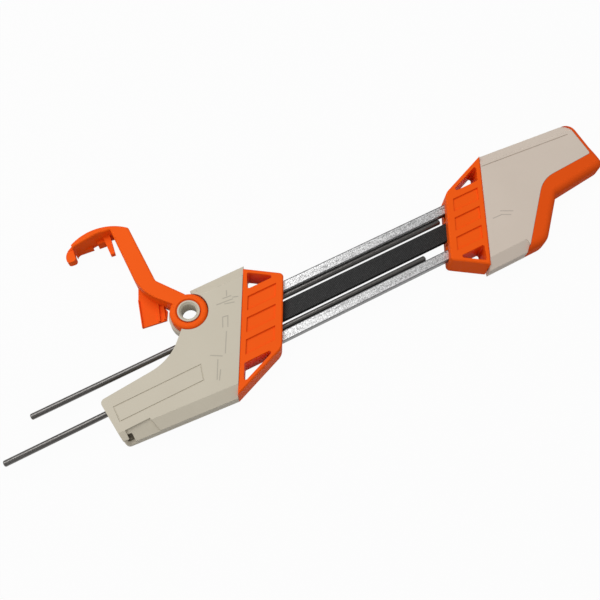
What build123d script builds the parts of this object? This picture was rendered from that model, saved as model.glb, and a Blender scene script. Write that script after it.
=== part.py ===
import os
from math import cos, pi, radians, sin, tan

from build123d import *

# File guide for chainsaw chains: two plastic handles, each with an orange end bracket, joined by two
# sheet steel guide rails. A flat file lies fixed between them. Two round files slide through both
# handles, and an orange lever on the left handle swings over their ends and hooks round its tip.
# Axes: X runs along the tool from the left handle to the right one, Y across it, Z up. The origin is
# on the axis of the hanging eye, at half the thickness of the handles. Units are millimetres.
# Shapes are worked out about the middle of the tool, its underside at zero height, where half a turn
# brings one handle onto the other.

# Whole tool
tool_length = 384.0
handle_width = 79.6
handle_height = 17.0
wall = 2.4
joint_gap = 0.15
moving_gap = 0.35
overrun = 3.0

# Long edges of the handles
edge_bevel_width = 7.5
edge_bevel_drop = 4.0
small_chamfer = 0.8

# Slanted joint between each handle and its bracket
junction_x = 94.5
junction_slant = 28.5
bracket_width = 30.5
tongue_depth = 8.0
tongue_inset = 13.8

# Bracket
bracket_top_drop = 3.0
bracket_foot_drop = 0.9
bracket_nose_margin = 2.7
bracket_heel_margin = 5.1
bracket_nose_radius = 3.0
bracket_heel_radius = 9.0
window_strip = 3.3
window_rim = 2.6
window_margin = 3.3
window_corner_radius = 1.2
pocket_pitch = 13.15
pocket_height = 8.75
pocket_depth = 1.2
pocket_outer_inset = 4.3
pocket_inner_inset = 5.5
pocket_count = 3

# Leg of each handle, which holds the long ends of the round files
leg_tip_top_y = 3.2
leg_taper = 5.8
leg_root_y = 0.8
leg_root_x = 143.5
leg_root_radius = 35.0
leg_tip_lean = 3.2
tip_top_radius = 3.0
tip_bottom_radius = 3.2

# Eye, where the lever turns on the left handle
eye_x = 119.1
lug_radius = 13.8
lug_top = 8.1
ring_radius = 12.4
ring_bottom = 9.0
ring_gap = 0.5
ring_rounding = 2.4
ring_mouth_width = 1.1
ring_mouth_depth = 1.5
ring_recess_cut = 7.0
bush_radius = 6.6
bush_flange_radius = 7.3
bush_flange_height = 1.6
bush_bottom = 5.0
bush_lip_radius = 7.2
bush_lip_height = 1.2
running_clearance = 0.05
hang_hole_radius = 5.1
hang_countersink_radius = 6.3
hang_countersink_depth = 1.5
washer_height = 0.8
washer_radius = 11.4
washer_bore_gap = 0.2

# Lever, drawn closed and then turned open about the eye
lever_open_angle = 95.0
lever_bottom = 0.9
arm_width = 12.2
arm_gap = 0.6
arm_knee_step = 4.3
arm_knee_radius = 3.2
arm_end_radius = 1.8
arm_root_clearance = 0.7
arm_rounding = 1.2
arm_side_turn = 172.0
arm_foot_turn = 228.0
hook_wall = 4.0
hook_gap = 2.9
hook_foot_gap = 2.3
hook_arc_radius = 35.4
hook_arc_turn = 36.3
hook_arc_y = 12.0
hook_arc_inner_step = 0.5
hook_arc_inner_radius = 20.0
hook_heel_radius = 8.0
hook_heel_inset = 0.6
curl_inset = 9.0
curl_thickness = 6.1
curl_radius = 3.2
curl_inner_radius = 2.2
curl_low = 8.0
curl_high = 13.7
curl_slope_reach = 4.4
prong_length = 16.7
prong_root_width = 5.0
prong_y = 6.8
prong_width = 3.0
prong_height = 3.6
tooth_ranges = [(5.7, 14.3), (19.0, 24.0)]
tooth_tops = [8.0, 12.0]
tooth_gaps = [0.4, 1.9]
ledge_range = (18.0, 28.0)
ledge_top = 5.5
flap_bottom = 2.9
flap_height = 1.7
flap_rib_height = 1.5
flap_rib_width = 1.3
flap_rib_starts = [(140.8, 10.2), (138.8, 13.0)]
flap_rib_ends = [(123.9, 6.3), (123.9, 10.1)]
flap_edge_y = 6.0
flap_end_x = 123.2
flap_end_y = 11.1
flap_end_margin = 1.0
flap_end_lift = 2.6
flap_edge_root_y = 2.0
flap_root_x = 153.0
flap_gap = 0.5

# Recess in the tip of the left leg, where the hook's curl lies
tip_pad_inset = 6.8
tip_pad_reach = 23.0
tip_pad_lean = 3.6
tip_pad_top_y = 26.9
tip_pad_depth = 1.1
tip_skin = 2.9
tip_slot_half_height = 2.3
tip_slot_depth = 18.0
curl_path_gap = 0.8
curl_end_gap = 0.7
curl_way_top_y = 22.0

# Panel line and edge line cut in the handles' faces
line_width = 0.7
line_depth = 0.4
panel_near_x = 127.0
panel_inset = 6.0
panel_top_y = 10.2
panel_bottom_y = 21.0
panel_end_lean = 2.8
edge_line_inset = 1.4

# Round files
round_file_radius = 2.0
round_file_length = 298.0
file_row_y = 9.8
file_end_chamfer = 0.5
upper_file_out = 233.5
lower_file_out = 257.5
file_bore_radius = 2.1
tip_hole_radius = 2.6

# Flat file
flat_file_seat = 17.5
flat_file_width = 12.3
flat_file_height = 3.5
flat_file_corner = 0.4
flat_slot_gap = 0.2

# Guide rails, channels of galvanised sheet
rail_inner_y = 12.3
rail_outer_y = 18.9
rail_height = 4.6
rail_sheet = 1.0
rail_lip = 0.5
rail_seat_depth = 7.0
channel_inner_y = 7.5

# File guides, moulded blocks inside the handles
guide_offset = 9.5
guide_length = 12.0
guide_half_width = 13.0

# Grip surround on the right handle
border_top_x = 104.0
border_knee_x = 145.0
border_knee_y = 2.0
border_knee_radius = 25.0
border_tip_y = 4.2
border_inset = 3.3
border_tip_radius = 1.5
border_foot_radius = 5.0
surround_shoulder_x = 120.5
surround_shoulder_radius = 14.0
surround_knee_step = 3.2
surround_knee_y = 11.9
surround_knee_radius = 3.0
surround_bulge = 5.2
surround_end_y = 7.6
surround_end_radius = 9.0
surround_waist_y = 2.0
surround_waist_radius = 9.0
surround_rim_width = 4.7
surround_rim_y = 9.0
surround_foot_radius = 8.0
surround_rounding = 5.0

# Fasteners
screw_radius = 1.5
screw_head_radius = 3.0
screw_head_height = 2.0
screw_head_sink = 1.0
screw_length = 12.0
screw_slot_width = 0.9
screw_slot_depth = 0.9
boss_radius = 3.6
screw_hole_gap = 0.1
pin_radius = 1.25
pin_length = 13.4
pin_sink = 0.4

# Places of the shell screws, as shares of half the tool's length and of half the handle's width
left_screw_shares = [(0.452, 0.80), (0.635, -0.80), (0.77, -0.62), (0.915, -0.52)]
right_screw_shares = [(0.452, 0.80), (0.635, -0.80), (0.77, -0.62), (0.915, -0.70)]

# Sizes that follow
half_length = tool_length / 2
half_width = handle_width / 2
parting = handle_height / 2
slant = tan(radians(junction_slant))
flat_half = flat_file_width / 2
flat_file_length = 2 * (junction_x + flat_file_seat)
tongue_half_width = half_width - tongue_inset
bracket_top_y = half_width - bracket_top_drop
bracket_foot_y = half_width - bracket_foot_drop
bracket_nose_y = rail_outer_y + bracket_nose_margin
bracket_heel_y = rail_outer_y + bracket_heel_margin
window_base_y = rail_outer_y + window_margin
leg_tip_bottom_y = half_width - leg_taper
eye_y = half_width - lug_radius
ring_recess_radius = ring_radius + ring_gap
arm_knee_x = leg_root_x + arm_knee_step
hook_inner_x = half_length + hook_gap
hook_outer_x = hook_inner_x + hook_wall
hook_bottom_y = leg_tip_bottom_y + hook_foot_gap
hook_arc_x = hook_outer_x - hook_arc_radius
hook_heel_wall_x = half_length - hook_heel_inset
curl_end_x = half_length - curl_inset
curl_inner_y = hook_bottom_y - curl_thickness
tip_pad_x = half_length - tip_pad_inset
tip_pad_end_x = half_length - tip_pad_reach
panel_far_x = half_length - panel_inset
border_tip_x = half_length - border_inset
surround_knee_x = border_knee_x + surround_knee_step
surround_end_x = border_tip_x + surround_bulge
surround_rim_x = border_tip_x + surround_rim_width
to_eye = Location((eye_x, -eye_y, -parting))


def junction_at(y, shift=0.0):
    """X of the slanted joint of the left handle at a given Y, moved towards the tip by shift."""
    return -junction_x - shift + y * slant


def outline(corners):
    """Flat face inside corners of (x, y, radius), each rounded as far as its sides allow."""
    edges = []
    stops = []
    count = len(corners)
    for index, (x, y, radius) in enumerate(corners):
        here = Vector(x, y)
        to_last = Vector(*corners[index - 1][:2]) - here
        to_next = Vector(*corners[(index + 1) % count][:2]) - here
        if not radius:
            stops.append((here, here))
            continue
        half_turn = radians(to_last.get_angle(to_next)) / 2
        last_share = radius / (radius + corners[index - 1][2])
        next_share = radius / (radius + corners[(index + 1) % count][2])
        reach = min(radius / tan(half_turn), to_last.length * last_share, to_next.length * next_share)
        radius = reach * tan(half_turn)
        start = here + to_last.normalized() * reach
        stop = here + to_next.normalized() * reach
        inwards = (to_last.normalized() + to_next.normalized()).normalized()
        middle = here + inwards * (radius / sin(half_turn) - radius)
        edges.append(ThreePointArc(start, middle, stop))
        stops.append((start, stop))
    for index in range(count):
        start = stops[index][1]
        stop = stops[(index + 1) % count][0]
        if (stop - start).length > joint_gap / count:
            edges.append(Line(start, stop))
    return make_face(edges)


def prism(face, low, high):
    """Straight solid over a flat face between two heights."""
    return Location((0, 0, low)) * extrude(face, amount=high - low)


def block(x_range, y_range, low, high):
    """Box between two X values, two Y values and two heights."""
    (x0, x1), (y0, y1) = sorted(x_range), sorted(y_range)
    return prism(outline([(x0, y0, 0), (x1, y0, 0), (x1, y1, 0), (x0, y1, 0)]), low, high)


def rod(x, y, radius, low, high):
    """Upright round bar."""
    return Location((x, y, low)) * extrude(Circle(radius), amount=high - low)


def long_bar(y, radius, start, stop):
    """Round bar along X at the height of the parting plane."""
    plane = Plane(origin=(start, y, parting), x_dir=(0, 1, 0), z_dir=(1, 0, 0))
    return extrude(plane * Circle(radius), amount=stop - start)


def bevel(start, stop, inset, top):
    """Wedge that bevels one long edge of a handle, above or below, moved inwards by inset."""
    along = (Vector(*stop) - Vector(*start)).normalized()
    inwards = Vector(-along.Y, along.X)
    upward = 1 if top else -1
    corner = (Vector(*start) + Vector(*stop)) / 2 + inwards * inset
    height = handle_height - inset if top else inset
    origin = Vector(corner.X, corner.Y, height)
    plane = Plane(origin=origin, x_dir=inwards, z_dir=inwards.cross(Vector(0, 0, upward)))
    rise = overrun * edge_bevel_drop / edge_bevel_width
    profile = make_face(Polyline(
        (-overrun, -edge_bevel_drop - rise),
        (edge_bevel_width + overrun, rise),
        (-overrun, rise),
        close=True,
    ))
    length = (Vector(*stop) - Vector(*start)).length / 2 + overrun
    return extrude(plane * profile, amount=length, both=True)


def edge_bevels(top_end_x, inset):
    """The four wedges along a handle's two long edges, as seen on the left handle."""
    upper = ((junction_at(half_width) + overrun, half_width), (-top_end_x, half_width))
    wedges = [bevel(*line, inset, top) for line in (upper, lower_edge()) for top in (True, False)]
    return Compound(wedges)


def left_corners(shift):
    """Corners of the left handle without its lug, the joint moved by shift."""
    return [
        (junction_at(half_width, shift), half_width, 0),
        (-eye_x, half_width, 0),
        (-eye_x, eye_y, 0),
        (-leg_root_x, leg_root_y, leg_root_radius),
        (-half_length, -leg_tip_top_y, tip_top_radius),
        (-half_length + leg_tip_lean, -leg_tip_bottom_y, tip_bottom_radius),
        (junction_at(-half_width, shift), -half_width, 0),
    ]


def right_corners(shift):
    """Corners of the right handle's pale shells, drawn as if it were the left handle."""
    return [
        (junction_at(half_width, shift), half_width, 0),
        (-border_top_x, half_width, 0),
        (-border_knee_x, -border_knee_y, border_knee_radius),
        (-border_tip_x, -border_tip_y, border_tip_radius),
        (-border_tip_x, -leg_tip_bottom_y, border_foot_radius),
        (junction_at(-half_width, shift), -half_width, 0),
    ]


def inner_space(corners, top_end_x):
    """Hollow of a handle, open towards its bracket."""
    face = offset(outline(corners(-wall - overrun)), amount=-wall, kind=Kind.INTERSECTION)
    return prism(face, wall, handle_height - wall) - edge_bevels(top_end_x, wall)


def screw_places(shares):
    """Centres of one handle's shell screws."""
    return [(-along * half_length, across * half_width) for along, across in shares]


def bosses(shares):
    """Round posts in both shells, which the shell screws join."""
    posts = [rod(x, y, boss_radius, 0, handle_height) for x, y in screw_places(shares)]
    return Compound(posts)


def screw_holes(shares):
    """Stepped holes from the underside for the shell screws."""
    holes = []
    for x, y in screw_places(shares):
        head_low = screw_head_sink
        holes.append(rod(x, y, screw_head_radius + screw_hole_gap, -overrun, head_low + screw_head_height))
        top = head_low + screw_head_height + screw_length + screw_hole_gap
        holes.append(rod(x, y, screw_radius + screw_hole_gap, 0, top))
    return Compound(holes)


def shell_screws(shares):
    """Pan head screws, heads sunk in the underside, each with a driving slot."""
    screws = []
    for x, y in screw_places(shares):
        head = rod(x, y, screw_head_radius, screw_head_sink, screw_head_sink + screw_head_height)
        slot = block(
            (x - screw_head_radius, x + screw_head_radius),
            (y - screw_slot_width / 2, y + screw_slot_width / 2),
            screw_head_sink,
            screw_head_sink + screw_slot_depth,
        )
        shank_low = screw_head_sink + screw_head_height
        shank = rod(x, y, screw_radius, shank_low, shank_low + screw_length)
        screws.append(head - slot + shank)
    return screws


def file_channel():
    """Way for the lower round file through the leg of the left handle and out of its tip."""
    return long_bar(-file_row_y, tip_hole_radius, -half_length - overrun, -leg_root_x)


def prong_slot():
    """Slot across the tip, in which the lever's prong swings home."""
    low = parting - tip_slot_half_height
    high = parting + tip_slot_half_height
    floor_y = -file_row_y - prong_width
    return block((-half_length - overrun, -half_length + tip_slot_depth), (floor_y, overrun), low, high)


def curl_way():
    """Room between the tip's two skins, which the hook's curl sweeps round the eye."""
    reach = Vector(curl_end_x - eye_x, curl_inner_y + eye_y).length - curl_path_gap
    ring = Location((-eye_x, eye_y, 0)) * (Circle(reach + half_width) - Circle(reach))
    end_x = curl_end_x - curl_end_gap
    corner = outline([
        (-half_length - overrun, -curl_way_top_y + tip_slot_depth, 0),
        (-half_length - overrun, -half_width, 0),
        (-end_x, -half_width, 0),
        (-end_x, -curl_way_top_y, 0),
    ])
    return prism(ring & corner, curl_low - moving_gap, handle_height - tip_skin)


def lower_edge():
    """Start and stop of the left handle's long lower edge, from the tip to the bracket."""
    return (-half_length, -leg_tip_bottom_y), (junction_at(-half_width) + overrun, -half_width)


def tip_pad():
    """Shallow recess in the bevelled edge beside the tip, its floor alongside the bevel."""
    face = outline([
        (-tip_pad_x, -tip_pad_top_y, 0),
        (-tip_pad_x, -half_width, 0),
        (-tip_pad_end_x + tip_pad_lean, -half_width, 0),
        (-tip_pad_end_x, -tip_pad_top_y, 0),
    ])
    return prism(face, parting, handle_height + overrun) & bevel(*lower_edge(), tip_pad_depth, True)


def flap_way():
    """Low slot in the notch wall, which the lever's flap sweeps round the eye."""
    reach = Vector(flap_root_x - eye_x, eye_y + flap_edge_y).length
    sweep = Circle(reach) - Circle(lug_radius + joint_gap)
    ring = Location((-eye_x, eye_y, 0)) * sweep
    side = outline([
        (-flap_root_x - moving_gap, eye_y, 0),
        (-flap_root_x - moving_gap, -leg_root_y, 0),
        (-leg_root_x, -flap_edge_y - moving_gap, 0),
        (-flap_end_x + moving_gap, -flap_edge_y - moving_gap, 0),
        (-flap_end_x + moving_gap, eye_y, 0),
    ])
    top = flap_bottom + flap_height + flap_rib_height + moving_gap
    return prism(ring & side, flap_bottom - moving_gap, top)


def panel_line():
    """Bare raised panel's border cut in the leg's upper face."""
    outer = outline([
        (-panel_near_x, -panel_top_y, 0),
        (-panel_far_x, -panel_top_y, 0),
        (-panel_far_x, -panel_bottom_y, 0),
        (-panel_near_x - panel_end_lean, -panel_bottom_y, 0),
    ])
    frame = outer - offset(outer, amount=-line_width, kind=Kind.INTERSECTION)
    return prism(frame, handle_height - line_depth, handle_height + overrun)


def left_handle():
    """Both left shells in one piece, before they are parted."""
    solid = prism(outline(left_corners(0)), 0, handle_height)
    solid += rod(-eye_x, eye_y, lug_radius, 0, lug_top)
    solid -= edge_bevels(eye_x - lug_radius, 0)
    solid -= bevel((-eye_x + lug_radius, half_width), (-eye_x, half_width), 0, True)
    hollow = inner_space(left_corners, eye_x - lug_radius)
    hollow -= rod(-eye_x, eye_y, ring_recess_radius + wall, 0, handle_height)
    hollow -= bosses(left_screw_shares)
    solid -= hollow
    solid -= file_channel()
    solid -= prong_slot()
    solid -= curl_way()
    solid -= tip_pad()
    solid -= flap_way()
    solid -= long_bar(file_row_y, tip_hole_radius, -leg_root_x - overrun, -junction_x)
    solid -= screw_holes(left_screw_shares)
    solid -= panel_line()
    return solid


def ring_recess():
    """Round seat cut from the upper shell, in which the lever's ring turns."""
    seat = rod(-eye_x, eye_y, ring_recess_radius, lug_top, handle_height + overrun)
    cusp = block(
        (-eye_x - lug_radius - overrun, -eye_x + ring_recess_cut),
        (eye_y, half_width + overrun),
        lug_top,
        handle_height + overrun,
    )
    return seat + cusp


def left_lower_shell():
    """Lower half of the left handle, with the solid lug under the lever's ring."""
    shell = left_handle() & block((-half_length - overrun, 0), (-handle_width, handle_width), 0, parting)
    shell -= ring_recess()
    shell -= rod(-eye_x, eye_y, bush_radius + running_clearance, 0, handle_height)
    lip_top = bush_bottom + bush_lip_height + running_clearance
    shell -= rod(-eye_x, eye_y, bush_lip_radius + joint_gap, -overrun, lip_top)
    return shell


def left_upper_shell():
    """Upper half of the left handle."""
    top = block((-half_length - overrun, 0), (-handle_width, handle_width), parting, handle_height)
    return (left_handle() & top) - ring_recess()


def edge_line():
    """Fine line along the inner edge of the right handle's bevel."""
    y_near = -half_width + edge_bevel_width + edge_line_inset
    y_far = -leg_tip_bottom_y + edge_bevel_width + edge_line_inset
    face = outline([
        (-border_tip_x + border_foot_radius, y_far, 0),
        (-border_tip_x + border_foot_radius, y_far + line_width, 0),
        (junction_at(y_near, line_width), y_near + line_width, 0),
        (junction_at(y_near, line_width), y_near, 0),
    ])
    return prism(face, handle_height - line_depth, handle_height + overrun)


def right_handle():
    """Both right shells in one piece, drawn as if it were the left handle."""
    solid = prism(outline(right_corners(0)), 0, handle_height)
    solid -= edge_bevels(border_top_x, 0)
    solid -= inner_space(right_corners, border_top_x) - bosses(right_screw_shares)
    solid -= screw_holes(right_screw_shares)
    solid -= edge_line()
    return solid


def right_lower_shell():
    """Lower half of the right handle."""
    return right_handle() & block((-half_length, 0), (-handle_width, handle_width), 0, parting)


def right_upper_shell():
    """Upper half of the right handle."""
    return right_handle() & block((-half_length, 0), (-handle_width, handle_width), parting, handle_height)


def surround_outer():
    """Outer edge of the grip surround, drawn as if it were on the left handle."""
    return outline([
        (-border_top_x + overrun, half_width, 0),
        (-surround_shoulder_x, half_width, surround_shoulder_radius),
        (-surround_knee_x, surround_knee_y, surround_knee_radius),
        (-surround_end_x, surround_end_y, surround_end_radius),
        (-surround_end_x, -surround_waist_y, surround_waist_radius),
        (-surround_rim_x, -surround_rim_y, surround_waist_radius),
        (-surround_rim_x, -leg_tip_bottom_y - joint_gap, surround_foot_radius),
        (-border_tip_x + border_foot_radius, -leg_tip_bottom_y - joint_gap, 0),
        (-border_knee_x, -file_row_y, 0),
        (-border_top_x + overrun, bracket_nose_y, 0),
    ])


def rounded_prism(face, low, high, radius, kept):
    """Straight solid over a flat face, its rims rounded except where they lie over the kept face."""
    solid = prism(face, low, high)
    rims = []
    for edge in solid.edges().filter_by(Plane.XY):
        middle = edge @ (1 / 2)
        below = Vector(middle.X, middle.Y, 0)
        if not any(face.is_inside(below) for face in kept.faces()):
            rims.append(edge)
    return fillet(rims, radius)


def grip_surround():
    """Orange surround of the right handle's lower side and end, its outer edges rounded."""
    inner = offset(outline(right_corners(0)), amount=joint_gap, kind=Kind.INTERSECTION)
    kept = offset(outline(right_corners(0)), amount=2 * joint_gap, kind=Kind.INTERSECTION)
    solid = rounded_prism(surround_outer(), 0, handle_height, surround_rounding, kept)
    return solid - prism(inner, -overrun, handle_height + overrun)


def bracket_corners():
    """Corners of a bracket, seen on the left handle."""
    inner = junction_x - bracket_width
    return [
        (junction_at(bracket_top_y), bracket_top_y, 0),
        (-inner + bracket_nose_y * slant, bracket_nose_y, bracket_nose_radius),
        (-inner - bracket_heel_y * slant, -bracket_heel_y, bracket_heel_radius),
        (junction_at(-bracket_foot_y), -bracket_foot_y, 0),
    ]


def window(first, second, third):
    """Three-cornered window through the bracket."""
    corners = [(*first, window_corner_radius), (*second, window_corner_radius), (*third, window_corner_radius)]
    return prism(outline(corners), -overrun, handle_height + overrun)


def bracket_windows():
    """The two windows, held in from the joint and from the outer edges by narrow strips."""
    inner = junction_x - bracket_width
    strip = -window_strip / cos(radians(junction_slant))
    nose_x = -inner + bracket_nose_y * slant
    heel_x = -inner - bracket_heel_y * slant
    top_slope = (bracket_top_y - bracket_nose_y) / (junction_at(bracket_top_y) - nose_x)
    foot_slope = (bracket_foot_y - bracket_heel_y) / (heel_x - junction_at(-bracket_foot_y))
    top_drop = window_rim * (1 + top_slope ** 2) ** 0.5
    foot_rise = window_rim * (1 + foot_slope ** 2) ** 0.5

    def top_edge(x):
        return bracket_nose_y + (x - nose_x) * top_slope - top_drop

    def foot_edge(x):
        return -bracket_heel_y + (x - heel_x) * foot_slope + foot_rise

    upper_x = junction_at(bracket_top_y - 2 * window_rim, strip)
    lower_x = junction_at(-bracket_foot_y + 2 * window_rim, strip)
    upper_right = nose_x + (window_base_y + top_drop - bracket_nose_y) / top_slope
    lower_right = heel_x + (-window_base_y - foot_rise + bracket_heel_y) / foot_slope
    upper = window(
        (upper_x, top_edge(upper_x)),
        (upper_right, window_base_y),
        (junction_at(window_base_y, strip), window_base_y),
    )
    lower = window(
        (junction_at(-window_base_y, strip), -window_base_y),
        (lower_right, -window_base_y),
        (lower_x, foot_edge(lower_x)),
    )
    return upper + lower


def bracket_pockets():
    """Shallow slanted pockets in the bracket's upper face."""
    inner = junction_x - bracket_width
    pockets = []
    for index in range(pocket_count):
        top = (pocket_count - 1) * pocket_pitch / 2 - index * pocket_pitch + pocket_height / 2
        low = top - pocket_height
        face = outline([
            (junction_at(top, -pocket_outer_inset), top, 0),
            (-inner - pocket_inner_inset + top * slant, top, 0),
            (-inner - pocket_inner_inset + low * slant, low, 0),
            (junction_at(low, -pocket_outer_inset), low, 0),
        ])
        pockets.append(prism(face, handle_height - pocket_depth, handle_height + overrun))
    return Compound(pockets)


def file_ways(x_range):
    """Slots along X for the flat file and, on each side, for a round file with its guide rail."""
    low = parting - rail_height / 2 - joint_gap
    high = parting + rail_height / 2 + joint_gap
    flat_low = parting - flat_file_height / 2 - flat_slot_gap
    flat_high = parting + flat_file_height / 2 + flat_slot_gap
    side = (channel_inner_y, rail_outer_y + joint_gap)
    return (
        block(x_range, side, low, high)
        + block(x_range, (-side[0], -side[1]), low, high)
        + block(x_range, (-flat_half - flat_slot_gap, flat_half + flat_slot_gap), flat_low, flat_high)
    )


def pin_places():
    """Centres of the two dowel pins of the left bracket, in the middle of each rail."""
    middle = (rail_inner_y + rail_outer_y) / 2
    return [(junction_at(y, -bracket_width / 2), y) for y in (middle, -middle)]


def tongue():
    """Plate of the bracket that the two shells clamp."""
    face = outline([
        (junction_at(tongue_half_width), tongue_half_width, 0),
        (junction_at(-tongue_half_width), -tongue_half_width, 0),
        (junction_at(-tongue_half_width, tongue_depth), -tongue_half_width, 0),
        (junction_at(tongue_half_width, tongue_depth), tongue_half_width, 0),
    ])
    return prism(face, wall + joint_gap, handle_height - wall - joint_gap)


def bracket():
    """Orange end bracket with windows, pockets, tongue and the ways for the files and rails."""
    solid = prism(outline(bracket_corners()), 0, handle_height)
    rims = [edge for edge in solid.edges().filter_by(Plane.XY) if (edge @ 0.5).Z > parting]
    solid = chamfer(rims, small_chamfer)
    solid -= bracket_windows()
    solid -= bracket_pockets()
    solid += tongue()
    reach = junction_x + half_width * slant + tongue_depth + overrun
    solid -= file_ways((-reach, 0))
    for x, y in pin_places():
        solid -= rod(x, y, pin_radius, -overrun, pin_sink + pin_length)
    return solid


def rail_pins():
    """Dowel pins that hold the two rails in a bracket."""
    return [rod(x, y, pin_radius, pin_sink, pin_sink + pin_length) for x, y in pin_places()]


def guide_rail():
    """Upper guide rail: a sheet channel, open towards the round file, with holes for its pins."""
    start = junction_at((rail_inner_y + rail_outer_y) / 2, rail_seat_depth)
    stop = -junction_at(-(rail_inner_y + rail_outer_y) / 2, rail_seat_depth)
    low = parting - rail_height / 2
    high = parting + rail_height / 2
    rail = block((start, stop), (rail_inner_y, rail_outer_y), low, high)
    rail -= block(
        (start - overrun, stop + overrun),
        (rail_inner_y - overrun, rail_outer_y - rail_sheet),
        low + rail_sheet,
        high - rail_sheet,
    )
    lip = (rail_inner_y, rail_inner_y + rail_sheet)
    rail += block((start, stop), lip, high - rail_sheet - rail_lip, high)
    rail += block((start, stop), lip, low, low + rail_sheet + rail_lip)
    left_x = pin_places()[0][0]
    right_x = -pin_places()[1][0]
    for x in (left_x, right_x):
        rail -= rod(x, (rail_inner_y + rail_outer_y) / 2, pin_radius, 0, handle_height)
    return rail


def flat_file():
    """Flat file between the two guides, its long edges slightly broken."""
    low = parting - flat_file_height / 2
    high = parting + flat_file_height / 2
    bar = block((-flat_file_length / 2, flat_file_length / 2), (-flat_half, flat_half), low, high)
    return chamfer(bar.edges().filter_by(Axis.X), flat_file_corner)


def round_file(y, out):
    """Round file pulled out of the left handle as far as out, both ends chamfered."""
    bar = long_bar(y, round_file_radius, -out, -out + round_file_length)
    return chamfer(bar.edges().filter_by(GeomType.CIRCLE), file_end_chamfer)


def file_guide():
    """Block inside a handle that carries the flat file's end and the two round files."""
    face = outline([
        (junction_at(guide_half_width, guide_offset), guide_half_width, 0),
        (junction_at(-guide_half_width, guide_offset), -guide_half_width, 0),
        (junction_at(-guide_half_width, guide_offset + guide_length), -guide_half_width, 0),
        (junction_at(guide_half_width, guide_offset + guide_length), guide_half_width, 0),
    ])
    solid = prism(face, wall, handle_height - wall)
    reach = junction_x + half_width * slant + guide_offset + guide_length + overrun
    for y in (file_row_y, -file_row_y):
        solid -= long_bar(y, file_bore_radius, -reach, 0)
    low = parting - flat_file_height / 2 - flat_slot_gap
    high = parting + flat_file_height / 2 + flat_slot_gap
    seat = flat_half + flat_slot_gap
    solid -= block((-flat_file_length / 2 - flat_slot_gap, 0), (-seat, seat), low, high)
    return solid - rod(-eye_x, eye_y, ring_recess_radius + wall + joint_gap, 0, handle_height)


def pivot_bush():
    """Hollow bush that joins the lever's ring to the lug and leaves the hanging hole open."""
    top = handle_height
    bush = rod(-eye_x, eye_y, bush_radius, bush_bottom, top)
    bush += rod(-eye_x, eye_y, bush_flange_radius, top - bush_flange_height, top)
    bush += rod(-eye_x, eye_y, bush_lip_radius, bush_bottom, bush_bottom + bush_lip_height)
    bush -= rod(-eye_x, eye_y, hang_hole_radius, 0, top)
    cone = Cone(hang_hole_radius, hang_countersink_radius, hang_countersink_depth)
    return bush - Location((-eye_x, eye_y, top - hang_countersink_depth / 2)) * cone


def pivot_washer():
    """Flat friction washer between the lug and the lever's ring."""
    disc = rod(-eye_x, eye_y, washer_radius, lug_top, lug_top + washer_height)
    return disc - rod(-eye_x, eye_y, bush_radius + washer_bore_gap, 0, handle_height)


def leg_top(x, gap):
    """Y of the left leg's upper edge at a distance x from the tool's middle, raised by gap."""
    slope = (leg_root_y + leg_tip_top_y) / (half_length - leg_root_x)
    return leg_root_y - (x - leg_root_x) * slope + gap


def ring_point(turn):
    """Point on the ring's edge at an angle about the eye."""
    return (-eye_x + ring_radius * cos(radians(turn)), eye_y + ring_radius * sin(radians(turn)), 0)


def arm_face():
    """Lever's arm, closed: from the ring to the knee, along the leg and round the hook's large arc."""
    turn = radians(hook_arc_turn)
    peak_x = hook_arc_x + hook_arc_radius / cos(turn)
    return outline([
        ring_point(arm_side_turn),
        (-arm_knee_x, leg_top(arm_knee_x, arm_gap + arm_width), arm_knee_radius),
        (-hook_arc_x - hook_arc_radius * cos(turn), -hook_arc_y + hook_arc_radius * sin(turn), arm_end_radius),
        (-peak_x, -hook_arc_y, hook_arc_radius),
        (-peak_x + (hook_bottom_y - hook_arc_y) * tan(turn), -hook_bottom_y, hook_heel_radius),
        (-curl_end_x, -hook_bottom_y, curl_radius),
        (-curl_end_x, -curl_inner_y, curl_inner_radius),
        (-hook_heel_wall_x, -curl_inner_y, curl_radius),
        (-hook_inner_x - hook_arc_inner_step, -hook_arc_y, hook_arc_inner_radius),
        (-hook_inner_x, leg_top(hook_inner_x, arm_gap), 0),
        (-leg_root_x - arm_gap, leg_top(leg_root_x, arm_gap), leg_root_radius),
        ring_point(arm_foot_turn),
        (-eye_x, eye_y, 0),
    ])


def strip(start, stop, width):
    """Flat band of some width between two points."""
    along = (Vector(*stop) - Vector(*start)).normalized()
    aside = Vector(-along.Y, along.X) * width / 2
    corners = [Vector(*start) + aside, Vector(*start) - aside, Vector(*stop) - aside, Vector(*stop) + aside]
    return outline([(corner.X, corner.Y, 0) for corner in corners])


def lever_flap():
    """Low plate that swings into the handle's notch, with two ribs and a raised edge."""
    edge_start = (-leg_root_x, -flap_edge_root_y)
    edge_stop = (-flap_end_x - flap_end_margin, -flap_edge_y + flap_gap)
    plate = outline([
        (-flap_root_x, leg_top(flap_root_x, arm_gap + flap_gap), 0),
        (*edge_start, 0),
        (*edge_stop, 0),
        (-flap_end_x, flap_end_y, 0),
        (-flap_end_x - arm_width / 2, flap_end_y + flap_end_lift, 0),
        (-leg_root_x - arm_gap, leg_top(leg_root_x, arm_width / 2), 0),
    ])
    top = flap_bottom + flap_height
    solid = prism(plate, flap_bottom, top)
    for start, stop in zip(flap_rib_starts, flap_rib_ends):
        rib = strip((-start[0], start[1]), (-stop[0], stop[1]), flap_rib_width)
        solid += prism(rib, flap_bottom, top + flap_rib_height)
    return solid + prism(strip(edge_start, edge_stop, flap_rib_width) & plate, top, top + flap_rib_height)


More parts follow.
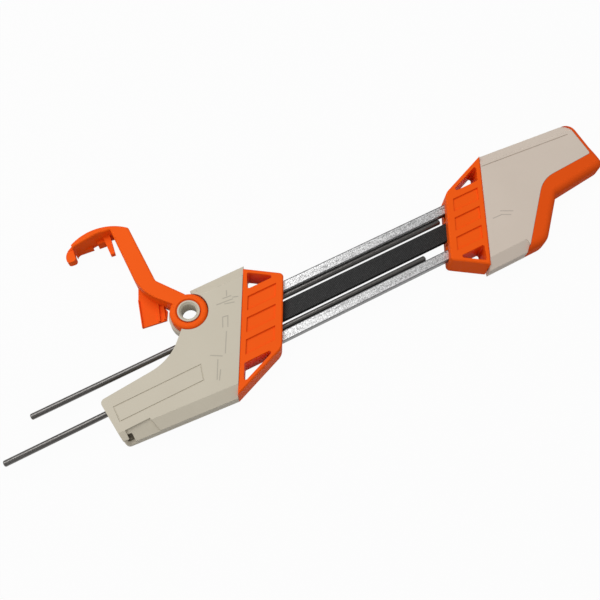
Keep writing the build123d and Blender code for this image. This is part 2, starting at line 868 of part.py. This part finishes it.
def inner_rims():
    """Flat region over the rims that stay sharp: at the ring and inside the hook."""
    hook = outline([
        (-hook_inner_x - hook_arc_inner_step - overrun / 2, -hook_arc_y, 0),
        (-hook_heel_wall_x - joint_gap, -curl_inner_y - joint_gap, 0),
        (-curl_end_x + joint_gap, -curl_inner_y - joint_gap, 0),
        (-leg_root_x, -hook_arc_y, 0),
        (-hook_inner_x, leg_top(hook_inner_x, arm_gap + joint_gap), 0),
    ])
    return hook + Location((-eye_x, eye_y, 0)) * Circle(lug_radius + arm_root_clearance)


def curl_slope():
    """Wedge above the curl, by which the hook's rim falls towards the tip's upper skin."""
    fall = handle_height - curl_high
    profile = make_face(Polyline(
        (0, 0),
        (curl_slope_reach, -fall),
        (curl_slope_reach + half_width, -fall),
        (curl_slope_reach + half_width, overrun),
        (0, overrun),
        close=True,
    ))
    origin = (-hook_outer_x - overrun, -curl_inner_y, handle_height)
    plane = Plane(origin=origin, x_dir=(0, -1, 0), z_dir=(1, 0, 0))
    return extrude(plane * profile, amount=half_length)


def lever_arm():
    """Lever's arm with its hook, cleared of the lug, of the leg and under the curl."""
    arm = rounded_prism(arm_face(), lever_bottom, handle_height, arm_rounding, inner_rims())
    arm -= rod(-eye_x, eye_y, lug_radius + arm_root_clearance, 0, ring_bottom)
    leg = offset(outline(left_corners(0)), amount=arm_gap, kind=Kind.INTERSECTION)
    under_y = (-half_width - overrun, -curl_inner_y + joint_gap)
    curl_room = block((-hook_outer_x - overrun, 0), under_y, curl_low, curl_high)
    arm -= prism(leg, 0, handle_height + overrun) - curl_room
    arm -= block((-hook_outer_x - overrun, 0), under_y, 0, curl_low)
    arm -= block((-hook_heel_wall_x, 0), under_y, curl_high, handle_height + overrun)
    return arm - curl_slope()


def hook_inside():
    """What stands on the hook's inner wall: a low ledge, two teeth and the tapered prong."""
    wall_x = -hook_inner_x - hook_wall / 2
    pieces = block((wall_x, -half_length - arm_gap), ledge_range, lever_bottom, ledge_top).mirror(Plane.XZ)
    for tooth_range, tooth_top, gap in zip(tooth_ranges, tooth_tops, tooth_gaps):
        tooth = block((wall_x, -half_length - gap), tooth_range, lever_bottom, tooth_top)
        pieces += tooth.mirror(Plane.XZ)
    tip_x = wall_x + prong_length
    prong = outline([
        (wall_x, -prong_y - prong_root_width / 2, 0),
        (tip_x, -prong_y - prong_width / 2, 0),
        (tip_x, -prong_y + prong_width / 2, 0),
        (wall_x, -prong_y + prong_root_width / 2, 0),
    ])
    return pieces + prism(prong, parting - prong_height / 2, parting + prong_height / 2)


def closed_lever():
    """Lever in its closed place over the left handle's notch and leg."""
    ring = rod(-eye_x, eye_y, ring_radius, ring_bottom, handle_height)
    ring = fillet(ring.edges().filter_by(GeomType.CIRCLE).sort_by(Axis.Z)[-1], ring_rounding)
    lever = ring + lever_arm() + lever_flap() + hook_inside()
    lever -= rod(-eye_x, eye_y, bush_radius + running_clearance, 0, handle_height + overrun)
    flange_low = handle_height - bush_flange_height - joint_gap
    seat_radius = bush_flange_radius + joint_gap
    lever -= rod(-eye_x, eye_y, seat_radius, flange_low, handle_height + overrun)
    mouth = Cone(seat_radius, seat_radius + ring_mouth_width, ring_mouth_depth)
    return lever - Location((-eye_x, eye_y, handle_height - ring_mouth_depth / 2)) * mouth


def opened(shape):
    """A shape of the lever turned from its closed place to the open one."""
    centre = Location((-eye_x, eye_y, 0))
    return centre * Rot(0, 0, -lever_open_angle) * centre.inverse() * shape


def turned(shape):
    """A shape of the left handle brought to the right one by half a turn."""
    return Rot(0, 0, 180) * shape


def solids_of(shape):
    """All solids of a shape or of a list of shapes."""
    pieces = shape if isinstance(shape, list) else [shape]
    return [solid for piece in pieces for solid in piece.solids()]


def save(name, shape):
    """Write one node about the eye's axis."""
    solids = [to_eye * solid for solid in solids_of(shape)]
    whole = solids[0] if len(solids) == 1 else Compound(children=solids)
    whole.label = name
    export_step(whole, f"parts/{name}.step")
    print(name, len(solids))


def main():
    """Build every node and write its file."""
    os.makedirs("parts", exist_ok=True)
    save("left_lower_shell", left_lower_shell())
    save("left_upper_shell", left_upper_shell())
    save("left_bracket", bracket())
    save("left_file_guide", file_guide())
    save("left_rail_pins", rail_pins())
    save("left_shell_screws", shell_screws(left_screw_shares))
    save("pivot_bush", pivot_bush())
    save("pivot_washer", pivot_washer())
    save("lever", opened(closed_lever()))
    save("right_lower_shell", turned(right_lower_shell()))
    save("right_upper_shell", turned(right_upper_shell()))
    save("right_bracket", turned(bracket()))
    save("right_file_guide", turned(file_guide()))
    save("right_rail_pins", [turned(pin) for pin in rail_pins()])
    save("right_shell_screws", [turned(screw) for screw in shell_screws(right_screw_shares)])
    save("grip_surround", turned(grip_surround()))
    save("upper_guide_rail", guide_rail())
    save("lower_guide_rail", turned(guide_rail()))
    save("flat_file", flat_file())
    save("upper_round_file", round_file(file_row_y, upper_file_out))
    save("lower_round_file", round_file(-file_row_y, lower_file_out))


main()
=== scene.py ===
# %% [markdown]
# # A file guide for saw chains, dressed for its picture
# The guide holds one flat file and two round files at the right angle over a saw chain. It is made of two
# pale plastic handles with orange end brackets, two galvanised rails, and an orange lever that stands open.
# The solids come from the packed model, already in place, so nothing has to be modelled twice. This lesson
# gives them their plastics and metals, and sets the camera, the floor and the light.

# %% Load the packed model
from math import atan2, hypot, pi, radians

import bmesh
import bpy
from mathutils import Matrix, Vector


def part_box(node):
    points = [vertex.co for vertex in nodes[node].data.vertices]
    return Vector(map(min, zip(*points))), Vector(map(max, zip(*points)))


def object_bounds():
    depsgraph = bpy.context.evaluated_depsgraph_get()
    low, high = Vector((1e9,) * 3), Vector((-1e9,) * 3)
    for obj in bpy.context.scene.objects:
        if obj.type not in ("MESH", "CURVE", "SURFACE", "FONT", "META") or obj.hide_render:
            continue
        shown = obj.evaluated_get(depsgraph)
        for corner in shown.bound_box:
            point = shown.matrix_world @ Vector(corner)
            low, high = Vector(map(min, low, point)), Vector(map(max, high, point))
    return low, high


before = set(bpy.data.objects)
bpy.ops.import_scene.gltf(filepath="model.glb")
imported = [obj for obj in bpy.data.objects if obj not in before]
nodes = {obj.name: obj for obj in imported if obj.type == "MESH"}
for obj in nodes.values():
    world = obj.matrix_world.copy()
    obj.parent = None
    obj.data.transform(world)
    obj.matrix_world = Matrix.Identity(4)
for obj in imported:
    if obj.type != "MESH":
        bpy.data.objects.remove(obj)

cad_box = [list(map(float, corner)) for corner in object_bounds()]
millimetre = 0.001
print("nodes:", len(nodes), "box:", cad_box)

# %% [markdown]
# ## The camera
# The photograph looks steeply down on the guide, which lies flat, from its near left. Straight edges that are
# parallel on the real tool run together a little, so the lens stands close. A camera could be aimed at the
# middle with a constraint, but the place, the turn and the lens below were found by fitting the tool's own
# corners to the picture, so they are written down as they came out.

# %% Camera at the photograph's angle
camera_place = Vector((-0.0280, -0.1797, 0.4366))
camera_tilt = radians(22.79)
camera_roll = radians(-1.58)
camera_heading = radians(-28.16)

camera_data = bpy.data.cameras.new("camera")
camera_data.lens = 42.79
camera_data.sensor_width = 36.0
camera = bpy.data.objects.new("camera", camera_data)
camera.location = camera_place
camera.rotation_euler = (camera_tilt, camera_roll, camera_heading)
bpy.context.scene.collection.objects.link(camera)
bpy.context.scene.camera = camera
bpy.context.scene.view_settings.view_transform = "Standard"
print("camera stands", round(camera_place.length, 3), "m from the eye of the lever")

# %% [markdown]
# ## Shader sums as plain Python
# A finish is a small sum over the surface, such as speckle times strength plus base. Each socket could be
# linked by hand, but long sums get hard to read that way. So a socket is wrapped in a class that knows plus,
# minus, times, less, more and abs, and each sign adds the Math node that it stands for.

# %% Sockets that can be added and compared
class Value:
    """A shader socket that takes part in sums."""

    def __init__(self, finish, socket):
        self.finish = finish
        self.socket = socket

    def sum(self, operation, first, second=0.0):
        return self.finish.add("ShaderNodeMath", {"operation": operation}, {0: first, 1: second})

    def __add__(self, other):
        return self.sum("ADD", self, other)

    def __radd__(self, other):
        return self.sum("ADD", other, self)

    def __sub__(self, other):
        return self.sum("SUBTRACT", self, other)

    def __rsub__(self, other):
        return self.sum("SUBTRACT", other, self)

    def __mul__(self, other):
        return self.sum("MULTIPLY", self, other)

    def __rmul__(self, other):
        return self.sum("MULTIPLY", other, self)

    def __lt__(self, other):
        return self.sum("LESS_THAN", self, other)

    def __gt__(self, other):
        return self.sum("GREATER_THAN", self, other)

    def __abs__(self):
        return self.sum("ABSOLUTE", self)

    def most(self, other):
        """The larger of two values, which joins two masks."""
        return self.sum("MAXIMUM", self, other)


print("methods of a value:", [name.strip("_") for name in vars(Value) if callable(getattr(Value, name))])

# %% [markdown]
# ## One class for every finish
# A plastic, a zinc coat and cut steel all start from the same few nodes: a place on the piece, some noise, a
# ramp of colours and a bump. One method adds any node, with its settings first and its sockets after, and the
# short ones below it name what a finish is made of. Places are the piece's own coordinates in metres, so a
# pattern keeps its real size and moves with the piece.

# %% A finish, built node by node
class Finish:
    """A material in the making."""

    def __init__(self, name):
        self.material = bpy.data.materials.new(name)
        self.material.use_nodes = True
        self.tree = self.material.node_tree
        self.tree.nodes.clear()
        self.output = self.tree.nodes.new("ShaderNodeOutputMaterial")

    def add(self, kind, settings=None, inputs=None, out=0):
        """Add one node, and give back one of its outputs."""
        node = self.tree.nodes.new(kind)
        for key, setting in (settings or {}).items():
            if key == "stops":
                while len(node.color_ramp.elements) < len(setting):
                    node.color_ramp.elements.new(0.5)
                for element, (place, colour) in zip(node.color_ramp.elements, setting):
                    element.position = place
                    element.color = colour
            else:
                setattr(node, key, setting)
        for key, given in (inputs or {}).items():
            if isinstance(given, Value):
                self.tree.links.new(given.socket, node.inputs[key])
            else:
                node.inputs[key].default_value = given
        return Value(self, node.outputs[out])

    def place(self, middle=(0.0, 0.0, 0.0), turn=0.0, stretch=(1.0, 1.0, 1.0)):
        """The piece's coordinates about a middle, turned about Z and drawn out."""
        here = self.add("ShaderNodeTexCoord", out="Object")
        inputs = {"Vector": here, "Location": middle, "Rotation": (0.0, 0.0, turn), "Scale": stretch}
        return self.add("ShaderNodeMapping", {"vector_type": "TEXTURE"}, inputs)

    def axis(self, letter, where=None):
        """One coordinate of a place, in metres."""
        return self.add("ShaderNodeSeparateXYZ", {}, {0: where or self.place()}, out=letter)

    def noise(self, where, scale, detail=3.0, roughness=0.6):
        inputs = {"Vector": where, "Scale": scale, "Detail": detail, "Roughness": roughness}
        return self.add("ShaderNodeTexNoise", {}, inputs)

    def ramp(self, factor, stops):
        return self.add("ShaderNodeValToRGB", {"stops": stops}, {"Fac": factor})

    def blend(self, factor, first, second):
        return self.add("ShaderNodeMix", {"data_type": "RGBA"}, {0: factor, 6: first, 7: second}, out=2)

    def soft_edges(self, radius):
        """A normal that rounds the sharp corners, as the light sees them."""
        return self.add("ShaderNodeBevel", {"samples": 6}, {"Radius": radius})

    def bump(self, height, strength, distance, under=None):
        inputs = {"Height": height, "Strength": strength, "Distance": distance}
        if under:
            inputs["Normal"] = under
        return self.add("ShaderNodeBump", {}, inputs)

    def surface(self, **inputs):
        """Close the material with one shader."""
        sockets = {key.replace("_", " "): given for key, given in inputs.items()}
        shader = self.add("ShaderNodeBsdfPrincipled", {}, sockets)
        self.tree.links.new(shader.socket, self.output.inputs["Surface"])
        print(self.material.name, "has", len(self.tree.nodes), "nodes")
        return self.material


# %% [markdown]
# ## Colours as they are seen
# Colours read off a picture are numbers from 0 to 255 that the screen has already brightened. Blender adds
# light in linear numbers, so each part is brought back first.

# %% Colours and dressing
def rgb(red, green, blue):
    """A picture's colour in the linear numbers that light adds in."""
    return (*(((part / 255 + 0.055) / 1.055) ** 2.4 for part in (red, green, blue)), 1.0)


def grey(level, warmth=0.0):
    """A linear grey, with a little less blue where it is warm."""
    return (level, level * (1 - warmth / 2), level * (1 - warmth), 1.0)


def dress(names, material):
    """Give one material to some of the packed nodes."""
    for name in names:
        nodes[name].data.materials.clear()
        nodes[name].data.materials.append(material)
    print(material.name, "on", ", ".join(names))


# %% [markdown]
# ## Moulded plastic
# The handles, the brackets and the lever are injection moulded. A mould is spark-eroded, which leaves a fine
# dull skin, and the colour flows a little unevenly. An image of plastic would show its tiles from near, so two
# noises do it: a broad one shifts the colour and a fine one is the skin, which also breaks up the highlight.
# Moulded corners are never sharp, so a Bevel node rounds the normal where the light runs along them.

# %% One recipe for plastics
skin_depth = 0.2 * millimetre
groove_depth = 0.4 * millimetre
corner_radius = 0.35 * millimetre
# Colour of the grooves: painted shade in the engraved strokes, and the dark joint along the shells' seam.
groove_shade_and_joint = rgb(124, 121, 115)
flow_scale = 35.0
flow_share, skin_share, groove_shade_and_joint_share = 0.5, 0.25, 0.35
skin_roughness = 0.16


def moulded(name, colour, shade, skin_scale, roughness, relief, gloss, grooves=None):
    """Plastic with a fine skin, and with the grooves that a function draws."""
    finish = Finish(name)
    where = finish.place()
    skin = finish.noise(where, skin_scale)
    flow = finish.noise(where, flow_scale, 3.0, 0.5)
    tint = finish.blend(flow * flow_share + skin * skin_share, colour, shade)
    normal = finish.bump(skin, relief, skin_depth, finish.soft_edges(corner_radius))
    if grooves:
        cut = grooves(finish)
        normal = finish.bump(1.0 - cut, 0.6, groove_depth, normal)
        # The grooves are darkened: painted shade in the strokes, and the dark joint where the two shells meet.
        tint = finish.blend(cut * groove_shade_and_joint_share, tint, groove_shade_and_joint)
    rough = skin * skin_roughness + (roughness - skin_roughness / 2)
    return finish.surface(Base_Color=tint, Roughness=rough, Normal=normal, Specular_IOR_Level=gloss)


# %% [markdown]
# ## Marks and the parting line
# The photograph shows faint engraved strokes on the pale shells: a small pictogram and a double mark on the
# left handle, and an arrow-like stroke on the right one. They could be cut into the mesh, but they are only
# a few tenths deep. So each stroke is a thin bar on the upper face: a Mapping node moves the origin to its
# middle and turns X along it, and two comparisons bound it. The line where the two shells meet is drawn too.
# Both are darkened in colour: the strokes with painted shade, and the seam as the dark joint between the shells.

# %% Strokes between two points, in millimetres from the eye
stroke_width = 0.6 * millimetre
marked_above = 8.4 * millimetre
seam_width = 0.24 * millimetre

left_pictogram = [
    (18.0, -4.8, 28.8, -5.7), (29.4, -4.6, 32.7, -5.7), (23.4, -2.6, 28.8, -3.1), (22.9, -6.6, 28.8, -8.2),
    (27.8, 1.4, 26.5, -1.7), (17.7, -14.2, 21.0, -14.8), (17.6, -14.2, 14.7, -20.4), (21.0, -14.8, 17.8, -21.5),
    (15.5, -24.1, 8.6, -36.8),
]
left_double_mark = [(-0.3, -34.0, 5.9, -37.7), (2.4, -38.8, -3.4, -49.9), (1.1, -45.5, -2.3, -51.0)]
right_arrow = [(222.4, -31.7, 230.2, -35.7), (214.7, -34.3, 220.8, -34.6), (221.3, -34.4, 227.2, -37.5)]


def strokes(finish, lines):
    """1 on the strokes of the upper face and 0 elsewhere."""
    drawn = None
    for line in lines:
        x0, y0, x1, y1 = (size * millimetre for size in line)
        bar = finish.place(((x0 + x1) / 2, (y0 + y1) / 2, 0.0), atan2(y1 - y0, x1 - x0))
        along = abs(finish.axis("X", bar)) < (hypot(x1 - x0, y1 - y0) + stroke_width) / 2
        across = abs(finish.axis("Y", bar)) < stroke_width / 2
        drawn = (along * across).most(drawn or 0.0)
    return drawn * (finish.axis("Z") > marked_above)


def shell_grooves(lines):
    """Grooves of one handle: its strokes and the line where its shells meet."""
    return lambda finish: strokes(finish, lines).most(abs(finish.axis("Z")) < seam_width / 2)


print("strokes:", len(left_pictogram + left_double_mark), "left,", len(right_arrow), "right")

# %% [markdown]
# ## Pale shells and the bush
# Both handles and the bush are the same warm pale nylon. In the picture the right handle looks a little pinker
# than the left one, because it stands nearer the orange grip and the lamp, and its colour follows that.

# %% Pale plastic
pale = {"skin_scale": 2600.0, "roughness": 0.55, "relief": 0.35, "gloss": 0.3}
left_tints = (rgb(209, 201, 183), rgb(196, 187, 168))
right_tints = (rgb(219, 205, 191), rgb(205, 191, 177))
left_grooves = shell_grooves(left_pictogram + left_double_mark)

dress(("pivot_bush",), moulded("pale bush nylon", *left_tints, **pale))
dress(("left_upper_shell", "left_lower_shell"), moulded("left pale nylon", *left_tints, **pale, grooves=left_grooves))
dress(
    ("right_upper_shell", "right_lower_shell"),
    moulded("right pale nylon", *right_tints, **pale, grooves=shell_grooves(right_arrow)),
)

# %% [markdown]
# ## Orange pieces
# The brackets and the lever are a tough smooth plastic in signal orange. The surround of the right handle is
# moulded over it from a softer plastic, for grip, so it is duller and rougher to the touch. Its colour is a
# little darker as well, which is painted shade for its rounded faces that turn away from the light.
# Plain plastic reflects little at a flat angle, and a low specular level keeps the walls deep in colour.

# %% Orange plastic and the soft grip
orange = moulded("orange plastic", rgb(252, 98, 23), rgb(243, 88, 17), 2200.0, 0.5, 0.25, 0.04)
# The grip's darker colour is painted shade, for its rounded faces that turn away from the light.
grip = moulded("soft orange grip with painted shade", rgb(238, 89, 22), rgb(226, 79, 16), 1700.0, 0.62, 0.45, 0.04)
dress(("left_bracket", "right_bracket", "lever"), orange)
dress(("grip_surround",), grip)

# %% [markdown]
# ## Black inner pieces
# The blocks that carry the files inside the handles, and the washer under the lever, are a plain black plastic
# that slides well. They hardly show, but they get the same recipe, so the tool can be taken apart.

# %% Black plastic
black = moulded("black sliding plastic", rgb(40, 40, 40), rgb(30, 30, 30), 2200.0, 0.5, 0.3, 0.3)
dress(("left_file_guide", "right_file_guide", "pivot_washer"), black)

# %% [markdown]
# ## Galvanised rails
# The rails are bent from zinc-coated sheet. Zinc freezes into small crystals that catch the light one by one,
# which the picture shows as a light grey speckle, with faint lines from the rolls and a dark line along each
# bend, where the sheet turns away from the light. Voronoi cells with a random grey each are the crystals, a
# noise drawn out along the rail gives the rolled lines, and the distance from the rail's middle finds the
# bends, where that shade is painted into the colour.

# %% Zinc with spangle
bend_width = 0.6 * millimetre
crystal_scale, grain_scale, rolled_scale = 2000.0, 2200.0, 900.0
along_rail = (50.0, 1.0, 1.0)
zinc_stops = [(0.32, grey(0.14)), (0.46, grey(0.52)), (0.64, grey(0.86))]
painted_bend_shade = grey(0.08)


def beside_middle(finish, name):
    """Distance from a node's long middle line, and half the node's width."""
    low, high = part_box(name)
    return abs(finish.axis("Y") - (low[1] + high[1]) / 2), (high[1] - low[1]) / 2


def galvanised(rail):
    """Zinc-coated sheet with fine spangle, rolled lines and painted shade on the bends."""
    finish = Finish("zinc of " + rail.replace("_", " "))
    where = finish.place()
    cells = finish.add("ShaderNodeTexVoronoi", {}, {"Vector": where, "Scale": crystal_scale}, out="Color")
    spangle = finish.add("ShaderNodeSeparateColor", {}, {"Color": cells})
    grain = finish.noise(where, grain_scale, 2.0)
    rolled = finish.noise(finish.place(stretch=along_rail), rolled_scale, 2.0, 0.5)
    colour = finish.ramp(grain * 0.5 + spangle * 0.25 + rolled * 0.25, zinc_stops)
    aside, half_width = beside_middle(finish, rail)
    # Painted shade on the bends: a dark grey where the sheet turns away from the light.
    colour = finish.blend((aside > half_width - bend_width) * 0.8, colour, painted_bend_shade)
    normal = finish.bump(grain, 0.6, skin_depth, finish.soft_edges(bend_width))
    return finish.surface(Base_Color=colour, Metallic=0.8, Roughness=grain * 0.2 + 0.22, Normal=normal)


for rail in ("upper_guide_rail", "lower_guide_rail"):
    dress((rail,), galvanised(rail))

# %% [markdown]
# ## Screws and pins
# The screws and the pins that hold the rails are turned and plated steel. They are bright, with fine rings
# from the turning, which a noise that is squeezed along their axis gives.

# %% Plated steel
turning_scale = 900.0
round_shank = (1.0, 1.0, 0.11)
plated_stops = [(0.2, grey(0.42, 0.02)), (0.8, grey(0.6, 0.03))]


def plated(name):
    """Bright plated steel with fine turning marks."""
    finish = Finish(name)
    turning = finish.noise(finish.place(stretch=round_shank), turning_scale, 2.0, 0.5)
    colour = finish.ramp(turning, plated_stops)
    return finish.surface(Base_Color=colour, Metallic=1.0, Roughness=turning * 0.15 + 0.25)


dress(("left_shell_screws", "right_shell_screws", "left_rail_pins", "right_rail_pins"), plated("plated steel"))

# %% [markdown]
# ## The flat file
# A flat file's teeth are rows of slanting cuts, and a second set crosses the first. Cut one by one they would
# be thousands of faces, so two turned waves draw them and the bump lets them catch the light. The narrow sides
# of the file are left uncut. They lie in the shade between the files and look nearly black.

# %% Crossing cuts
first_cut = (-62.0, 300.0, 0.6)
second_cut = (48.0, 380.0, 0.4)
plain_side = 0.35 * millimetre
# Colour of the uncut sides: dark steel, with the shade between the files painted in as nearly black.
dark_side_and_shade = grey(0.004)
file_grain_scale = 1500.0
cut_stops = [(0.3, grey(0.006)), (0.55, grey(0.028)), (0.8, grey(0.11))]


def flat_cut(name):
    """Dark file steel with two crossing rows of cuts and plain sides."""
    finish = Finish(name + " steel")
    rows = 0.0
    for turn, scale, share in (first_cut, second_cut):
        inputs = {"Vector": finish.place(turn=radians(turn)), "Scale": scale}
        rows = finish.add("ShaderNodeTexWave", {"wave_profile": "SAW"}, inputs) * share + rows
    grain = finish.noise(finish.place(), file_grain_scale, 3.0, 0.7)
    aside, half_width = beside_middle(finish, name)
    side = aside > half_width - plain_side
    # The sides get the nearly black colour: dark uncut steel, with painted shade from between the files.
    colour = finish.blend(side, finish.ramp(rows * 0.5 + grain * 0.5, cut_stops), dark_side_and_shade)
    return finish.surface(
        Base_Color=colour, Metallic=0.5 - side * 0.5, Roughness=grain * 0.15 + 0.45 + side * 0.4,
        Normal=finish.bump(rows, 0.5, 0.3 * millimetre), Specular_IOR_Level=0.2,
    )


dress(("flat_file",), flat_cut("flat_file"))

# %% [markdown]
# ## The round files
# On a round file the cuts wind round the rod like several threads. A wave can't do that on flat coordinates,
# so the angle about the rod's own axis is taken with ARCTAN2 and added to the way along it. The sine of that
# sum is high on each ridge. The teeth are finer than a pixel here, so the bump stays weak.

# %% Winding cuts
ridge_pitch = 0.8 * millimetre
ridge_starts = 4.0
along_rod = (5.0, 1.0, 1.0)
rod_stops = [(0.2, grey(0.06, 0.08)), (0.55, grey(0.15, 0.09)), (0.9, grey(0.32, 0.08))]


def round_cut(name):
    """File steel with cuts that wind round a rod lying along X."""
    finish = Finish(name.replace("_", " ") + " steel")
    low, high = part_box(name)
    from_axis = finish.axis("Y") - (low[1] + high[1]) / 2
    angle = finish.add("ShaderNodeMath", {"operation": "ARCTAN2"}, {0: finish.axis("Z"), 1: from_axis})
    winding = finish.axis("X") * (2 * pi / ridge_pitch) + angle * ridge_starts
    ridges = finish.add("ShaderNodeMath", {"operation": "SINE"}, {0: winding})
    grain = finish.noise(finish.place(stretch=along_rod), file_grain_scale, 3.0, 0.7)
    colour = finish.ramp(ridges * 0.07 + grain * 0.4 + 0.3, rod_stops)
    normal = finish.bump(ridges, 0.12, skin_depth)
    return finish.surface(Base_Color=colour, Metallic=1.0, Roughness=grain * 0.14 + 0.24, Normal=normal)


for name in ("upper_round_file", "lower_round_file"):
    dress((name,), round_cut(name))

# %% [markdown]
# ## The floor
# The picture's background is pure white. More light would get there, but it would bleach the tool. So the
# floor is shown white to the rays that come from the camera or off gloss, and to all other rays it is a plain
# grey, which keeps the tool's walls deep in colour. A small share of the grey is left in for the camera too,
# and it carries the tool's soft shadow.

# %% White floor
floor_size = 6.0
floor_gap = 0.2 * millimetre
white_share = 0.965
floor_grey = grey(0.4)


def shown_rays(finish):
    """1 for rays from the camera, off gloss or through glass, and 0 for light that falls on the tool."""
    rays = finish.add("ShaderNodeLightPath").socket.node
    kinds = ("Is Camera Ray", "Is Glossy Ray", "Is Transmission Ray")
    camera_ray, glossy, through = (Value(finish, rays.outputs[kind]) for kind in kinds)
    return camera_ray.most(glossy.most(through))


floor_mesh = bmesh.new()
bmesh.ops.create_grid(floor_mesh, x_segments=1, y_segments=1, size=floor_size)
bmesh.ops.translate(floor_mesh, verts=floor_mesh.verts, vec=(0.0, 0.0, cad_box[0][2] - floor_gap))
floor_data = bpy.data.meshes.new("floor")
floor_mesh.to_mesh(floor_data)
floor_mesh.free()
floor = bpy.data.objects.new("floor", floor_data)
bpy.context.scene.collection.objects.link(floor)

paper = Finish("white floor")
diffuse = paper.add("ShaderNodeBsdfDiffuse", {}, {"Color": floor_grey})
white = paper.add("ShaderNodeEmission", {}, {"Color": grey(1.0), "Strength": 1.0})
mixed = paper.add("ShaderNodeMixShader", {}, {0: shown_rays(paper) * white_share, 1: diffuse, 2: white})
paper.tree.links.new(mixed.socket, paper.output.inputs["Surface"])
floor_data.materials.append(paper.material)
print("floor lies at", round(cad_box[0][2] - floor_gap, 5))

# %% [markdown]
# ## The world
# The room's even light comes from the world. Seen past the floor's edge it is white as well, so a low view
# has no horizon, and everywhere else it is weaker, so that the lamps still shape the tool.

# %% Even light all round
room_light = 0.42

world = bpy.data.worlds.new("studio")
bpy.context.scene.world = world
world.use_nodes = True
sky = world.node_tree
sky.nodes.clear()
sky_out = sky.nodes.new("ShaderNodeOutputWorld")
sky_rays = sky.nodes.new("ShaderNodeLightPath")
sky_mix = sky.nodes.new("ShaderNodeMixShader")
sky.links.new(sky_rays.outputs["Is Camera Ray"], sky_mix.inputs[0])
for slot, strength in ((1, room_light), (2, 1.0)):
    light = sky.nodes.new("ShaderNodeBackground")
    light.inputs["Color"].default_value = grey(1.0)
    light.inputs["Strength"].default_value = strength
    sky.links.new(light.outputs[0], sky_mix.inputs[slot])
sky.links.new(sky_mix.outputs[0], sky_out.inputs["Surface"])
print("room light:", room_light)

# %% [markdown]
# ## The lamps
# In the picture the faces turned up are the brightest, and the walls turned to the viewer are a good deal
# darker, so the main lamp hangs high behind the tool. Its place also makes the rails shine at their left end
# and fade to the right. A weak lamp from the near left keeps the walls' colour alive.

# %% Two soft lamps
def lamp(name, place, size, power):
    """Square soft light that looks at the tool's middle."""
    data = bpy.data.lights.new(name, "AREA")
    data.size = size
    data.energy = power
    light = bpy.data.objects.new(name, data)
    light.location = place
    middle = Vector([(low + high) / 2 for low, high in zip(*cad_box)])
    light.rotation_euler = (middle - Vector(place)).to_track_quat("-Z", "Y").to_euler()
    bpy.context.scene.collection.objects.link(light)
    print(name, "at", place, "with", power, "W")


lamp("main lamp", (-0.15, 0.55, 1.15), 0.9, 9.5)
lamp("near lamp", (-0.75, -0.65, 0.7), 0.7, 1.4)

# %% [markdown] ## The dressed tool's box The box of the dressed tool has to be the box of the packed solids,
# because it only got its finishes here.
